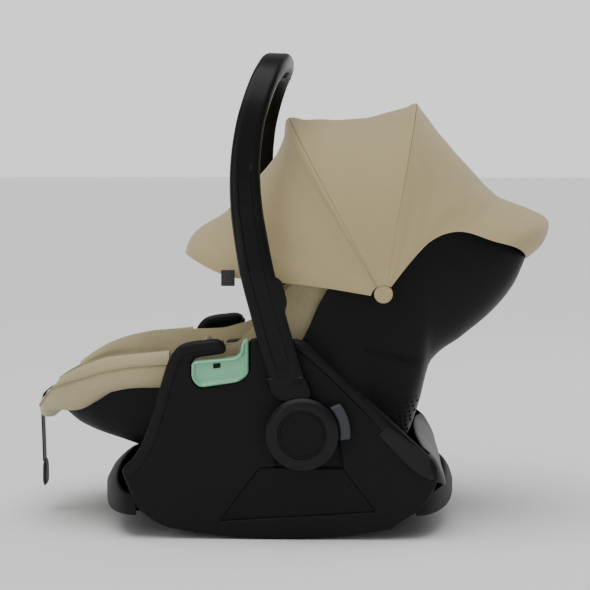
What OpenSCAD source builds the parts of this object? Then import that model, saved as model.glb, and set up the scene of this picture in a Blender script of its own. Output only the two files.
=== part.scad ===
// Infant car seat: a rocker-based carrier with a swinging carry handle and a folding canopy.
// Millimetres. +X towards the head end, -X towards the foot end, +Y the far side, +Z up.
// The floor under the rocker is z = 0 and the origin is under the middle of the whole seat.

/* [Seat] */
// Half of the overall length, foot lip to canopy nose
half_length = 330; // [325:1:335]
// Outer half width over the two hub caps
half_width = 222; // [218:0.5:226]
// Thickness of the moulded seat shell
shell_wall = 4; // [3:0.5:4.5]
// Thickness of the padded cover
cover_wall = 12; // [9:0.5:13]

/* [Base] */
// Radius of the rocker that the base stands on
rocker_r = 700; // [650:10:760]
// Where along the length the rocker is lowest
rocker_x = -12; // [-20:1:0]
// Half distance between the outer faces of the two side panels
panel_y = 197; // [196:0.5:197.5]
// Thickness of a side panel
panel_wall = 6; // [4:0.5:7]
// Height of the docking face, the flat underside of the floor pan
pan_z = 22; // [20:0.5:24]
// Radius of a docking bar
bar_r = 6; // [5:0.25:6]

/* [Handle] */
// Where the handle turns, along the length
hub_x = 16; // [14:0.5:18]
// Height of the handle's pivot
hub_z = 135; // [133:0.5:137]
// Radius of the hub
hub_r = 44; // [43:0.5:45]
// Width of the handle's arm seen from the side
arm_w = 40; // [36:1:42]
// Thickness of the handle's arm across the seat
arm_t = 13; // [11:1:13]
// Radius of the steel pivot pins
pin_r = 5; // [4:0.5:5.5]
// How far a release button travels
button_travel = 5; // [4:0.5:5]

/* [Canopy] */
// Where the canopy's bows turn, along the length
pivot_x = 115; // [113:0.5:117]
// Height of the canopy's pivot
pivot_z = 298; // [296:0.5:300]
// Half width of the canopy at its pivot
canopy_w = 178; // [176:0.5:180]
// Thickness of the canopy's fabric
fabric_t = 3; // [2:0.5:3]
// Angle of the front bow from upright
front_angle = -28.7; // [-30:0.1:-27]
// Angle of the rear bow from upright
rear_angle = 10.1; // [9:0.1:11]

/* [Headrest] */
// Angle of the seat back from level
back_angle = 50.2; // [49.5:0.1:50.5]

/* [Hidden] */
gap = 0.3;              // clearance between neighbours
run = 0.05;             // radial clearance of a pin in its bore
round_fn = 64;
arc_n = 14;             // steps round a lofted section
left = -1;              // the near side, -Y
right = 1;              // the far side, +Y

// ---- Outline tables: [x along the seat, value there] ----
shell_bottom = [[-318, 160], [-296, 148], [-268, 126], [-204, 102], [-120, 72], [-40, 58],
    [60, 58], [110, 74], [144, 106], [161, 150], [176, 206], [217, 239], [254, 270],
    [282, 304], [300, 345], [314, 372]];
shell_rim = [[-318, 166], [-296, 172], [-240, 196], [-142, 212], [-20, 228], [13, 243],
    [37, 292], [70, 336], [120, 374], [180, 386], [240, 384], [290, 378], [314, 374]];
shell_half = [[-318, 70], [-296, 108], [-268, 132], [-240, 146], [-142, 158], [0, 166],
    [50, 162], [90, 154], [120, 150], [150, 146], [200, 132], [250, 116], [290, 93], [314, 66]];
seat_floor = [[-316, 156], [-296, 167], [-279, 172], [-255, 165], [-180, 128], [-100, 106],
    [-20, 98], [45, 100], [70, 114], [250, 330], [290, 366], [308, 374]];
cover_rim_z = [[-316, 172], [-292, 194], [-259, 213], [-230, 222], [-192, 228], [-66, 228],
    [-44, 260], [-15, 294], [30, 336], [80, 368], [140, 386], [200, 389], [250, 385],
    [290, 380], [308, 378]];
stations = [-314, -296, -279, -260, -240, -204, -160, -120, -66, -44, -15, 13, 37, 50, 70, 90,
    110, 130, 144, 152, 161, 168, 176, 200, 217, 235, 254, 270, 282, 290, 300, 308];

// ---- Shared shapes ----
// A point across a U-shaped section: a runs from 0 at one rim to 180 at the other
function u_point(x, half, low, high, a) = let (c = cos(a), s = sin(a))
    [x, half * sign(c) * sqrt(abs(c)), high - (high - low) * sqrt(max(s, 0))];

// The outer and then the inner edge of a U-shaped wall at one place along the seat
function u_ring(x, half_out, low_out, half_in, low_in, high_out, high_in) = concat(
    [for (i = [0:arc_n]) u_point(x, half_out, low_out, high_out, 180 * i / arc_n)],
    [for (i = [arc_n:-1:0]) u_point(x, half_in, low_in, high_in, 180 * i / arc_n)]);

// One closed solid through a list of rings that all have the same even number of points,
// where the second half of a ring runs back beside the first half
module loft(rings) {
    n = len(rings[0]);
    m = len(rings);
    points = [for (ring = rings) for (p = ring) p];
    sides = [for (j = [0:m - 2]) for (i = [0:n - 1]) let (k = (i + 1) % n)
        each [[j * n + i, j * n + k, (j + 1) * n + k], [j * n + i, (j + 1) * n + k, (j + 1) * n + i]]];
    first = [for (i = [0:n / 2 - 2]) each [[n - 2 - i, i + 1, i], [n - 1 - i, n - 2 - i, i]]];
    last = [for (t = first) [for (v = [2:-1:0]) (m - 1) * n + t[v]]];
    polyhedron(points = points, faces = concat(sides, first, last), convexity = 6);
}

// A plate drawn in the side view, standing between two distances from the middle plane
module side_plate(side, near, far) {
    translate([0, side > 0 ? far : -near, 0]) rotate([90, 0, 0]) linear_extrude(far - near) children();
}

// A straight strip in the side view from one point to another, of a given thickness
module strip(from, to, thick) {
    run_x = to[0] - from[0];
    run_z = to[1] - from[1];
    translate(from) rotate(atan2(run_z, run_x)) square([norm([run_x, run_z]), thick]);
}

// Height of the rocker's underside at a place along the seat
function rocker_z(x) = rocker_r - sqrt(rocker_r * rocker_r - (x - rocker_x) * (x - rocker_x));

// ---- Base ----
rocker_edge = [for (k = [-5:5]) let (x = rocker_x + 27 * k) [x, rocker_z(x)]];
head_edge = [[137, 23], [153, 33], [164, 42], [176, 61], [182, 78], [182, 92], [175, 105]];
foot_edge = [[-50, 250], [-50, 208], [-62, 199], [-110, 190], [-119, 200],
    [-119, 225], [-79, 231], [-77, 240], [-90, 248], [-124, 243], [-137, 239], [-148, 223],
    [-158, 190], [-168, 156], [-180, 123], [-193, 100], [-208, 88], [-188, 37], [-166, 21]];

module panel_outline() {
    polygon(concat(rocker_edge, head_edge, [[20, 244], [10, 247]], foot_edge));
}

// Side panel: the moulded side wall with the rocker's runner along its foot
module side_panel(side) {
    color("#262628") difference() {
        union() {
            side_plate(side, panel_y - panel_wall, panel_y) panel_outline();
            side_plate(side, panel_y - 24, panel_y - 1) polygon(concat(
                [for (p = rocker_edge) p + [0, 0.5]],
                [for (i = [len(rocker_edge) - 1:-1:0]) rocker_edge[i] + [0, 7]]));
        }
        translate([hub_x, 0, hub_z]) rotate([90, 0, 0])
            cylinder(r = pin_r + run, h = 3 * panel_y, center = true, $fn = round_fn);
    }
}

// Rim trim: the thick rolled edge up the foot end to the belt hook, and down the head end
module rim_trim(side) {
    color("#2e2e30") side_plate(side, 176, panel_y - panel_wall - gap) {
        polygon([[-208, 88], [-193, 100], [-180, 123], [-168, 156], [-158, 190], [-148, 223],
            [-137, 239], [-124, 243], [-90, 248], [-77, 240], [-79, 231], [-120, 226], [-130, 222],
            [-138, 205], [-148, 170], [-158, 140], [-172, 108], [-186, 88]]);
        polygon([[10, 247], [20, 244], [175, 105], [182, 92], [180, 76], [164, 78], [8, 228]]);
    }
}

// Inset panel: the darker panel under the hub
module inset_panel(side) {
    color("#1b1b1d") side_plate(side, panel_y + 0.1, panel_y + 2.4) difference() {
        polygon([[-87, 22], [111, 34], [66, 88], [62, 118], [-18, 118], [-16, 91], [-37, 90]]);
        translate([hub_x, hub_z]) circle(r = hub_r + 4, $fn = round_fn);
    }
}

// Belt guide: the coloured scoop under the hook that holds the lap belt down
module belt_guide(side) {
    color("#7fc8a0") side_plate(side, 178, panel_y + 3) polygon([[-118.7, 214], [-118.7, 200.3],
        [-109.8, 190.4], [-62.2, 199.4], [-50.4, 208.3], [-50.4, 249], [-58, 247], [-62, 226],
        [-70, 219], [-90, 216]]);
}

// Hoop: the curved band that joins the two side panels at one end
module hoop(end_x, reach, low) {
    half = panel_y - panel_wall - gap;
    band = 7;
    color("#29292b") translate([end_x, 0, low]) linear_extrude(22) polygon(concat(
        [for (a = [-90:7.5:90]) [reach * cos(a), half * sin(a)]],
        [for (a = [90:-7.5:-90]) [(abs(reach) - band) * sign(reach) * cos(a), (half - band) * sin(a)]]));
}

module floor_pan() {
    color("#222224") difference() {
        translate([-145, -172, pan_z]) cube([270, 344, 5]);
        for (x = [-105, 90]) translate([x - 15, -110, pan_z - 1]) cube([30, 220, 7]);
        for (x = [-130, 110], y = [-140, 140]) translate([x, y, pan_z - 1])
            cylinder(r = 2.6, h = 7, $fn = round_fn);
    }
    color("#222224") for (x = [-80, 40]) translate([x, -60, pan_z + 5])
        cube([8, 120, lookup(x, shell_bottom) - pan_z - 9]);
}

module dock_bar(x) {
    color("silver") translate([x, 0, pan_z + 7.2 + bar_r]) rotate([90, 0, 0])
        cylinder(r = bar_r, h = 2 * (panel_y - panel_wall - gap), center = true, $fn = round_fn);
}

module rear_crossmember() {
    color("#2b2b2d") rotate([90, 0, 0]) linear_extrude(2 * (176 - gap), center = true)
        polygon([[157, 110], [164, 107], [186, 80], [194, 58], [187, 58], [180, 76], [158, 100]]);
}

module pan_screws() {
    color("silver") for (x = [-130, 110], y = [-140, 140]) translate([x, y, pan_z + 0.4]) {
        cylinder(r = 2.5, h = 12, $fn = round_fn);
        translate([0, 0, 4.9]) cylinder(r = 5, h = 3, $fn = round_fn);
    }
}

// Dock release: the lever inside the head end's hoop, and the pin that it turns on
lever_pin = [160, 0, 51];
module dock_release_lever() {
    color("#55575a") difference() {
        rotate([90, 0, 0]) linear_extrude(90, center = true)
            polygon([[154, 52], [158, 44], [190, 32], [195.5, 34], [190, 49], [166, 58]]);
        translate(lever_pin) rotate([90, 0, 0])
            cylinder(r = 3 + run, h = 100, center = true, $fn = round_fn);
    }
}

module dock_release_pin() {
    color("silver") translate(lever_pin) rotate([90, 0, 0])
        cylinder(r = 3, h = 355, center = true, $fn = round_fn);
}

// ---- Seat ----
module seat_shell() {
    color("#202022") loft([for (x = stations) let (
            half = lookup(x, shell_half), low = lookup(x, shell_bottom), high = lookup(x, shell_rim))
        u_ring(x, half, low, half - shell_wall, low + shell_wall, high, high)]);
}

// Foam liner: the energy-absorbing foam between shell and cover
foam_side = 4.5;            // room for foam at the side walls
module foam_liner() {
    color("#3a3a3c") loft([for (x = [for (s = stations) if (s > -240 && s < 290) s]) let (
            half = lookup(x, shell_half) - shell_wall - 1.6, low = lookup(x, shell_bottom) + shell_wall + 2,
            high = min(lookup(x, shell_rim), lookup(x, cover_rim_z)) - 2)
        u_ring(x, half, low, half - foam_side + 2.4, lookup(x, seat_floor) - cover_wall - 1, high, high)]);
}

// Cover: the padded fabric liner that the child lies on
module seat_cover() {
    color("#b9ad8a") loft([for (x = [for (s = stations) if (s > -300 && s < 301) s]) let (
            half = lookup(x, shell_half) - shell_wall - foam_side - gap, low = lookup(x, seat_floor),
            high = lookup(x, cover_rim_z))
        u_ring(x, half, low - cover_wall, half - cover_wall, low, high, high)]);
}

// Rim of the cover: the padded roll over the foot end of the shell, three sides in one piece
rim_low = [[-330, 134], [-305, 150], [-280, 152], [-251, 167], [-228, 179], [-150, 184]];
rim_high = [[-330, 160], [-318, 166], [-309, 178], [-292, 196], [-259, 213], [-230, 222], [-150, 230]];
module cover_rim() {
    roll = 8;
    color("#c2b591") loft([for (a = [90:-10:-90]) let (
            reach = half_length - 150, c = sqrt(max(cos(a), 0)), s = sign(a) * sqrt(abs(sin(a))),
            x = -150 - reach * c, half = 170 + 3 * c, in = (reach - roll) / reach)
        [[x, half * s, lookup(x, rim_low)], [x, half * s, lookup(x, rim_high) - 4],
         [-150 - reach * c * in, (half - roll) * s, lookup(x, rim_high)],
         [-150 - reach * c * in, (half - roll) * s, lookup(x, rim_low)]]]);
}

module seat_pad() {
    color("#a89c7a") rotate([90, 0, 0]) linear_extrude(140, center = true)
        polygon(concat([for (x = [-90, -20, 45, 70, 128]) [x, lookup(x, seat_floor) + 6]],
            [[117, 197], [60, 129], [30, 120], [-20, 118], [-90, 124]]));
}

// ---- Harness ----
module crotch_strap() {
    color("#2a2a2c") rotate([90, 0, 0]) linear_extrude(38, center = true)
        strip([-108, 112], [-112, 165], 2.5);
}

module crotch_pad() {
    color("#c2b591") rotate([90, 0, 0]) linear_extrude(58, center = true)
        polygon([[-128, 128], [-120, 128], [-116, 180], [-108, 226], [-114, 232], [-121, 232], [-129, 180]]);
}

module buckle_body() {
    color("#1d1d1f") difference() {
        translate([-108, -26, 166]) cube([22, 52, 44]);
        translate([-93, -12, 176]) cube([12, 24, 18]);
    }
}

module buckle_button() {
    color("#b3282d") translate([-88.5, -11.5, 176.5]) cube([5, 23, 17]);
}

module buckle_tongues() {
    color("silver") for (s = [left, right]) translate([-99, s * 14 - 9, 210.3]) cube([3, 18, 16]);
}

module shoulder_straps() {
    color("#2a2a2c") for (s = [left, right]) translate([0, s * 36, 0]) rotate([90, 0, 0])
        linear_extrude(30, center = true) strip([-92, 222], [118, 247], 2);
}

module shoulder_pads() {
    color("#c2b591") for (s = [left, right]) translate([0, s * 36, 0]) rotate([90, 0, 0])
        linear_extrude(46, center = true) strip([10, 237.5], [112, 249.7], 12);
}

// Stands upright on the sloping cover at the foot end, where the harness adjuster is
adjuster_x = -222;
module on_foot() {
    slope = atan((lookup(-255, seat_floor) - lookup(-180, seat_floor)) / 75);
    translate([adjuster_x, 0, lookup(adjuster_x, seat_floor)]) rotate([0, slope, 0]) children();
}

module adjuster_bezel() {
    color("#1d1d1f") on_foot() difference() {
        translate([-22, -26, 1]) cube([44, 52, 9]);
        translate([-10, -13, -5]) cube([20, 26, 20]);
    }
}

module adjuster_button() {
    color("#55575a") on_foot() translate([-9.5, -12.5, 4.8]) cube([19, 25, 6]);
}

// Adjuster strap: the loose webbing that hangs over the foot end
strap_route = [[-250, 169], [-264, 175], [-280, 177.5], [-297, 173], [-312, 168.5], [-325, 163],
    [-332.5, 156], [-335, 146], [-335.5, 126], [-335, 106], [-334.5, 86], [-334, 66]];
function route_side(i) = let (a = strap_route[max(i - 1, 0)], b = strap_route[min(i + 1, len(strap_route) - 1)],
    d = (b - a) / norm(b - a)) [-d[1], d[0]];
module adjuster_strap() {
    half = 12.5;
    thick = 1.5;
    color("#19191b") loft([for (i = [0:len(strap_route) - 1]) let (p = strap_route[i], q = p + thick * route_side(i))
        [[p[0], half, p[1]], [p[0], -half, p[1]], [q[0], -half, q[1]], [q[0], half, q[1]]]]);
}

module strap_tab() {
    color("#19191b") translate([-335, -15, 34]) cube([5, 30, 31.6]);
}

// ---- Canopy ----
// Reach of the fabric from the pivot at each angle from upright, along the middle plane
canopy_reach = [[-80, 262], [-74, 258], [-63.4, 228], [-55, 221], [-47, 218.6], [-40, 222],
    [-34.3, 232.4], [-31.2, 245], [-28.7, 254], [-25, 243], [-21.6, 237], [-14, 227], [-5.6, 224],
    [2.5, 231], [7.2, 238], [10.1, 245], [12.4, 236.6], [20.5, 214.5], [30.7, 197.7], [43.9, 190],
    [50.1, 191.7], [56, 202.5], [61.2, 217], [67.6, 232.3], [73, 219], [76.5, 197]];
// Where the fabric's side edge begins, measured from the pivot
hem_reach = [[-80, 16], [33, 16], [39, 86], [47, 117], [62.6, 150], [73, 183], [76.5, 188]];
canopy_bulge = 2.6;         // shape of a bow: 2 is an ellipse, more is squarer

function hoop_point(reach, half, a) =
    [half * sign(cos(a)) * pow(abs(cos(a)), 2 / canopy_bulge), reach * pow(max(sin(a), 0), 2 / canopy_bulge)];
function hoop_start(reach, hem) = asin(pow(hem / reach, canopy_bulge / 2));
// Turns a point of a bow's own plane about the pivot, by an angle from upright
function on_canopy(p, turn) = [pivot_x + p[1] * sin(turn), p[0], pivot_z + p[1] * cos(turn)];

function canopy_ring(turn) = let (
        reach = lookup(turn, canopy_reach), a0 = hoop_start(reach, lookup(turn, hem_reach)),
        half = canopy_w, n = 16) concat(
    [for (i = [0:n]) on_canopy(hoop_point(reach, half, a0 + (180 - 2 * a0) * i / n), turn)],
    [for (i = [n:-1:0]) on_canopy(hoop_point(reach - fabric_t, half - fabric_t,
        a0 + (180 - 2 * a0) * i / n), turn)]);

module canopy_panel(turns) {
    color("#b7a877") loft([for (i = [len(turns) - 1:-1:0]) canopy_ring(turns[i])]);
}

// Bow: a flat half hoop with an eye at each end, in the canopy at an angle from upright
module bow(turn, inset, eye_y, thick) {
    reach = lookup(turn, canopy_reach) - inset;
    half = eye_y + 1.6;
    band = 7;
    steps = 28;
    outer = [for (i = [0:steps]) hoop_point(reach, half, 180 * i / steps)];
    inner = [for (i = [steps:-1:0]) hoop_point(reach - band, half - 3.2, 180 * i / steps)];
    translate([pivot_x, 0, pivot_z]) rotate([0, turn, 0]) difference() {
        union() {
            rotate([90, 0, 90]) translate([0, 0, -thick / 2]) linear_extrude(thick)
                intersection() {
                    polygon(concat(outer, inner));
                    translate([-half, 4]) square([2 * half, reach]);
                }
            for (s = [left, right]) translate([0, s * eye_y, 0]) rotate([90, 0, 0])
                cylinder(r = 8, h = 3.2, center = true, $fn = round_fn);
        }
        rotate([90, 0, 0]) cylinder(r = 3 + run, h = 3 * canopy_w, center = true, $fn = round_fn);
    }
}

module rear_bow() {
    color("#1d1d1f") bow(rear_angle, 9, 159.6, 6);
}

module front_bow() {
    color("#1d1d1f") bow(front_angle, 9, 163.2, 6);
}

module visor_brim() {
    color("#1d1d1f") bow(-76.5, 6, 166.8, 4);
}

// The three fabric panels meet over the bows, with a hair's gap between them
seam = 0.3;
module canopy_rear_panel() {
    canopy_panel(concat([rear_angle + seam], [for (k = canopy_reach) if (k[0] > rear_angle) k[0]]));
}

module canopy_middle_panel() {
    canopy_panel(concat([front_angle + seam],
        [for (k = canopy_reach) if (k[0] > front_angle && k[0] < rear_angle) k[0]], [rear_angle]));
}

module canopy_visor_panel() {
    canopy_panel(concat([for (k = canopy_reach) if (k[0] < front_angle) k[0]], [front_angle]));
}

module canopy_pins() {
    color("#1d1d1f") for (s = [left, right]) translate([pivot_x, s * 163, pivot_z]) rotate([90, 0, 0]) {
        cylinder(r = 3, h = 21.4, center = true, $fn = round_fn);
        translate([0, 0, -s * 10.5]) cylinder(r = 9, h = 2, center = true, $fn = round_fn);
    }
}

module side_tag() {
    color("#3c3c40") translate([-92, -139, 309]) cube([18, 1.5, 19]);
}

// ---- Headrest ----
// Draws in the seat back's own side view: first axis up the back, second axis out of it
module on_back(low_x) {
    translate([low_x, 0, lookup(low_x, seat_floor)]) rotate([0, -back_angle, 0]) rotate([90, 0, 0]) children();
}

module headrest_shell() {
    color("#1d1d1f") on_back(140) linear_extrude(130, center = true)
        translate([22, 11]) square([108, 3]);
}

module headrest_pad() {
    color("#bfb28e") on_back(140) {
        linear_extrude(130, center = true) translate([14, 14.4]) square([124, 20]);
        for (s = [left, right]) translate([0, 0, s * 64 - 12]) linear_extrude(24)
            polygon([[20, 32], [130, 32], [116, 74], [40, 74]]);
    }
}

module headrest_pull() {
    color("#55575a") on_back(140) linear_extrude(40, center = true) translate([138.4, 14]) square([8, 10]);
}

// ---- Handle ----
// The arm's middle line from hub to corner: [x, half distance across, height]
arm_line = [[6, 208, 172], [-15, 208.4, 243], [-27, 208.4, 286], [-38, 207.2, 328], [-46, 200, 368], [-53, 186, 412],
    [-55, 172, 462], [-50, 160, 508], [-42, 147, 540], [-33, 127, 566], [-25, 100, 582],
    [-21, 66, 588.5], [-20, 30, 590]];
handle_line = concat([for (p = arm_line) [p[0], -p[1], p[2]]],
    [for (i = [len(arm_line) - 1:-1:0]) arm_line[i]]);

function unit(v) = v / norm(v);
// Direction of the handle's line at one of its points
function heading(i) = unit(handle_line[min(i + 1, len(handle_line) - 1)] - handle_line[max(i - 1, 0)]);
// Direction across the arm as seen from the side, level where the handle crosses over
function across(i) = let (t = heading(i), up = i < len(handle_line) / 2 ? 1 : -1)
    unit([t[2] * up + 1.2 * abs(t[1]), 0, -t[0] * up]);
// Section of the handle between two shares of its thickness, outside face at 0.5
function arm_ring(i, from, to) = let (
        p = handle_line[i], u = across(i), t = heading(i), v = unit(cross(u, t)), c = 0.16,
        thick = arm_t + 13 * abs(t[1]))
    [for (q = [[-0.5, from + c], [-0.5 + c, from], [0.5 - c, from], [0.5, from + c],
               [0.5, to - c], [0.5 - c, to], [-0.5 + c, to], [-0.5, to - c]])
        p + u * q[0] * arm_w + v * q[1] * thick];

module handle_frame() {
    color("#232325") loft([for (i = [0:len(handle_line) - 1]) arm_ring(i, -0.22, 0.5)]);
}

module handle_inner_cover() {
    color("#1b1b1d") loft([for (i = [1:len(handle_line) - 2]) [for (q = [[-0.42, -0.5], [0.42, -0.5],
        [0.42, -0.28], [-0.42, -0.28]]) handle_line[i] + across(i) * q[0] * arm_w
        + unit(cross(across(i), heading(i))) * q[1] * (arm_t + 13 * abs(heading(i)[1]))]]);
}

module grip_pad() {
    color("#2f2f31") translate([-21, 0, 573.6]) rotate([90, 0, 0]) linear_extrude(110, center = true)
        polygon([[-14, 0.5], [14, 0.5], [12, -3], [-12, -3]]);
}

// Direction of the release button from the pivot, above level
button_dir = 17;
module pivot_disc(side) {
    color("#2a2a2c") difference() {
        translate([hub_x, side * 208, hub_z]) rotate([90, 0, 0])
            cylinder(r = hub_r, h = 12, center = true, $fn = round_fn);
        translate([hub_x, side * 208, hub_z]) {
            rotate([90, 0, 0]) cylinder(r = pin_r + run, h = 20, center = true, $fn = round_fn);
            rotate([0, -button_dir, 0]) translate([36 - button_travel, -10, -26]) cube([20, 20, 52]);
            rotate([0, 90 - button_dir, 0]) translate([0, 0, 22]) cylinder(r = 3.6, h = 20, $fn = round_fn);
        }
    }
}

module hub_cap(side) {
    thick = half_width - 214.3;
    color("#343437") translate([hub_x, side * (214.3 + thick / 2), hub_z]) rotate([90 * side, 0, 0])
        translate([0, 0, -thick / 2]) difference() {
            cylinder(r1 = hub_r - 3, r2 = hub_r, h = thick, $fn = round_fn);
            translate([0, 0, -1]) difference() {
                cylinder(r = 29, h = 2.5, $fn = round_fn);
                translate([0, 0, -1]) cylinder(r = 27, h = 5, $fn = round_fn);
            }
        }
}

// Release button: a block on the rear of the hub that slides towards the pivot
module release_button(side) {
    color("#5b5d60") translate([hub_x, side * 208, hub_z]) rotate([0, -button_dir, 0])
        rotate([90, 0, 0]) intersection() {
            cylinder(r = 59, h = 11, center = true, $fn = round_fn);
            translate([38, -24, -10]) cube([30, 48, 20]);
        }
}

module button_spring(side) {
    color("silver") translate([hub_x, side * 208, hub_z]) rotate([0, 90 - button_dir, 0])
        translate([0, 0, 22.3]) difference() {
            cylinder(r = 3.2, h = 15.2, $fn = round_fn);
            translate([0, 0, -1]) cylinder(r = 2.2, h = 18, $fn = round_fn);
        }
}

module hub_pin(side) {
    inner = panel_y - 16;
    color("silver") translate([hub_x, side * (inner + 213.8) / 2, hub_z]) rotate([90, 0, 0])
        cylinder(r = pin_r, h = 213.8 - inner, center = true, $fn = round_fn);
    color("silver") translate([hub_x, side * (inner - 2), hub_z]) rotate([90, 0, 0])
        cylinder(r = 2 * pin_r, h = 4, center = true, $fn = round_fn);
}

floor_pan();
side_panel(left);  // side_panel_left
side_panel(right);  // side_panel_right
rim_trim(left);  // rim_trim_left
rim_trim(right);  // rim_trim_right
inset_panel(left);  // inset_panel_left
inset_panel(right);  // inset_panel_right
belt_guide(left);  // belt_guide_left
belt_guide(right);  // belt_guide_right
hoop(-190, -58, 33);  // foot_hoop
hoop(150, 58, 33);  // head_hoop
rear_crossmember();
dock_bar(-105);  // dock_bar_front
dock_bar(90);  // dock_bar_rear
hub_pin(left);  // hub_pin_left
hub_pin(right);  // hub_pin_right
seat_shell();
foam_liner();
seat_cover();
cover_rim();
seat_pad();
crotch_strap();
crotch_pad();
buckle_body();
buckle_button();
buckle_tongues();
shoulder_straps();
shoulder_pads();
adjuster_bezel();
adjuster_button();
adjuster_strap();
strap_tab();
canopy_pins();
canopy_rear_panel();
rear_bow();
canopy_middle_panel();
front_bow();
canopy_visor_panel();
visor_brim();
side_tag();
headrest_shell();
headrest_pad();
headrest_pull();
handle_frame();
handle_inner_cover();
grip_pad();
pivot_disc(left);  // pivot_disc_left
pivot_disc(right);  // pivot_disc_right
hub_cap(left);  // hub_cap_left
hub_cap(right);  // hub_cap_right
release_button(left);  // release_button_left
release_button(right);  // release_button_right
button_spring(left);  // button_spring_left
button_spring(right);  // button_spring_right
dock_release_lever();
dock_release_pin();
pan_screws();
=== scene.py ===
from math import asin, atan, copysign, cos, exp, pi, radians, sin, sqrt

import bmesh
import bpy
from mathutils import Matrix, Vector


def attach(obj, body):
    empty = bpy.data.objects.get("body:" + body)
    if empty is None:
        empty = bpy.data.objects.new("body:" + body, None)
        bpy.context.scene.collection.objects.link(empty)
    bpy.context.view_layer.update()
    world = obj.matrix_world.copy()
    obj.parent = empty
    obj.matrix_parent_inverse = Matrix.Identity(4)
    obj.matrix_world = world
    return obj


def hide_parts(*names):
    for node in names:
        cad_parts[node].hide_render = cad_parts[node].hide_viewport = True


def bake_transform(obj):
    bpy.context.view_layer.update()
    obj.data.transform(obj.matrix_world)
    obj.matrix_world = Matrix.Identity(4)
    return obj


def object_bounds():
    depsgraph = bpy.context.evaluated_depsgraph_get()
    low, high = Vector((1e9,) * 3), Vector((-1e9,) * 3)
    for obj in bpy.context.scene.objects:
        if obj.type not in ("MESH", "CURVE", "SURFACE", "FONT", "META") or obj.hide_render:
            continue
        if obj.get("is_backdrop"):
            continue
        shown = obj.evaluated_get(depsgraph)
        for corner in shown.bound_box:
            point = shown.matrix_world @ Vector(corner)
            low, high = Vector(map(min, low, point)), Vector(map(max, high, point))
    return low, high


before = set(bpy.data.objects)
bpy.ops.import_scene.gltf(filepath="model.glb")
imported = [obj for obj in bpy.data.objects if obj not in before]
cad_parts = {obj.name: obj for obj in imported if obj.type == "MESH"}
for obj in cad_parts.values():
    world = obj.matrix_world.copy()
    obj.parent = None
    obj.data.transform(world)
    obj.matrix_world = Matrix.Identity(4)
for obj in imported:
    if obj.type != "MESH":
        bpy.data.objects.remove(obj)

cad_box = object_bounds()

# ---- Camera ----
# A long studio lens, level with the side of the seat and a little above it.
MM = 0.001                      # every size below is in millimetres
aim = Vector((0, 0, 288)) * MM
turn, tilt, distance = radians(2.0), radians(4.4), 2.5
back = Vector((sin(turn) * cos(tilt), -cos(turn) * cos(tilt), sin(tilt)))


def put(name, data):
    """A new object in the scene."""
    made = bpy.data.objects.new(name, data)
    bpy.context.collection.objects.link(made)
    return made


lens = bpy.data.cameras.new("camera")
lens.lens, lens.sensor_width = 115.6, 36
camera = put("camera", lens)
camera.location = aim + back * distance
camera.rotation_euler = (-back).to_track_quat("-Z", "Y").to_euler()
bpy.context.scene.camera = camera

# ---- Adjuster strap ----
# The harness's loose tail: flat polyester webbing that leaves the adjuster, bends over
# the padded foot end and hangs, with a sewn end tab.


def linear(code):
    """A hex sRGB colour as the linear values that a shader takes."""
    parts = [int(code[i:i + 2], 16) / 255 for i in (1, 3, 5)]
    return [c / 12.92 if c <= 0.04045 else ((c + 0.055) / 1.055) ** 2.4 for c in parts] + [1]


def add_node(tree, kind, inputs, **settings):
    """Adds a node; inputs holds its set values and the sockets, or nodes' first outputs, that feed it."""
    made = tree.nodes.new("ShaderNode" + kind)
    for key, value in settings.items():
        setattr(made, key, value)
    for key, value in inputs.items():
        if isinstance(value, bpy.types.Node):
            value = value.outputs[0]
        if isinstance(value, bpy.types.NodeSocket):
            tree.links.new(value, made.inputs[key])
        else:
            made.inputs[key].default_value = value
    return made


def feed(shader, key, socket):
    """Links a socket to one of the shader's inputs."""
    shader.id_data.links.new(socket, shader.inputs[key])


def start_material(name, roughness, **sockets):
    """A new material with its node tree and its shader."""
    made = bpy.data.materials.new(name)
    made.use_nodes = True
    shader = made.node_tree.nodes["Principled BSDF"]
    shader.inputs["Roughness"].default_value = roughness
    for key, value in sockets.items():
        shader.inputs[key.replace("_", " ")].default_value = value
    return made, made.node_tree, shader


def tint(shader, factor, first, second):
    """Colours the shader between two hex colours, by a factor socket."""
    mixed = add_node(shader.id_data, "Mix", {"Factor": factor}, data_type="RGBA")
    for socket, code in zip([s for s in mixed.inputs if s.type == "RGBA"], (first, second)):
        socket.default_value = linear(code)
    feed(shader, "Base Color", next(s for s in mixed.outputs if s.type == "RGBA"))


def spread(tree, value, low, high):
    """A socket's 0 to 1 taken to the range low to high."""
    return add_node(tree, "MapRange", {"Value": value, "To Min": low, "To Max": high}).outputs["Result"]


def emboss(shader, height, strength, distance):
    """Bumps on the surface from a height socket, up to a distance in metres."""
    bump = add_node(shader.id_data, "Bump", {"Height": height, "Strength": strength, "Distance": distance})
    feed(shader, "Normal", bump.outputs["Normal"])


def waves(tree, vector, pitch, direction, **inputs):
    """Even stripes at a pitch in metres."""
    return add_node(tree, "TexWave", {"Vector": vector, "Scale": 0.314 / pitch, **inputs},
        bands_direction=direction).outputs["Fac"]


def webbing(name, dark, light, rib):
    """Woven polyester webbing: ribs across the strap, a fine herringbone and a soft shine."""
    made, tree, shader = start_material(name, 0.55)
    uv = add_node(tree, "UVMap", {}, uv_map="cloth")
    across, along = waves(tree, uv, rib, "Y"), waves(tree, uv, 2 * rib, "X", Distortion=1.5)
    weave = add_node(tree, "Math", {0: across, 1: along}, operation="MAXIMUM")
    tint(shader, weave, dark, light)
    feed(shader, "Roughness", spread(tree, weave, 0.72, 0.5))
    emboss(shader, weave, 0.5, 0.0005)
    return made


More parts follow.
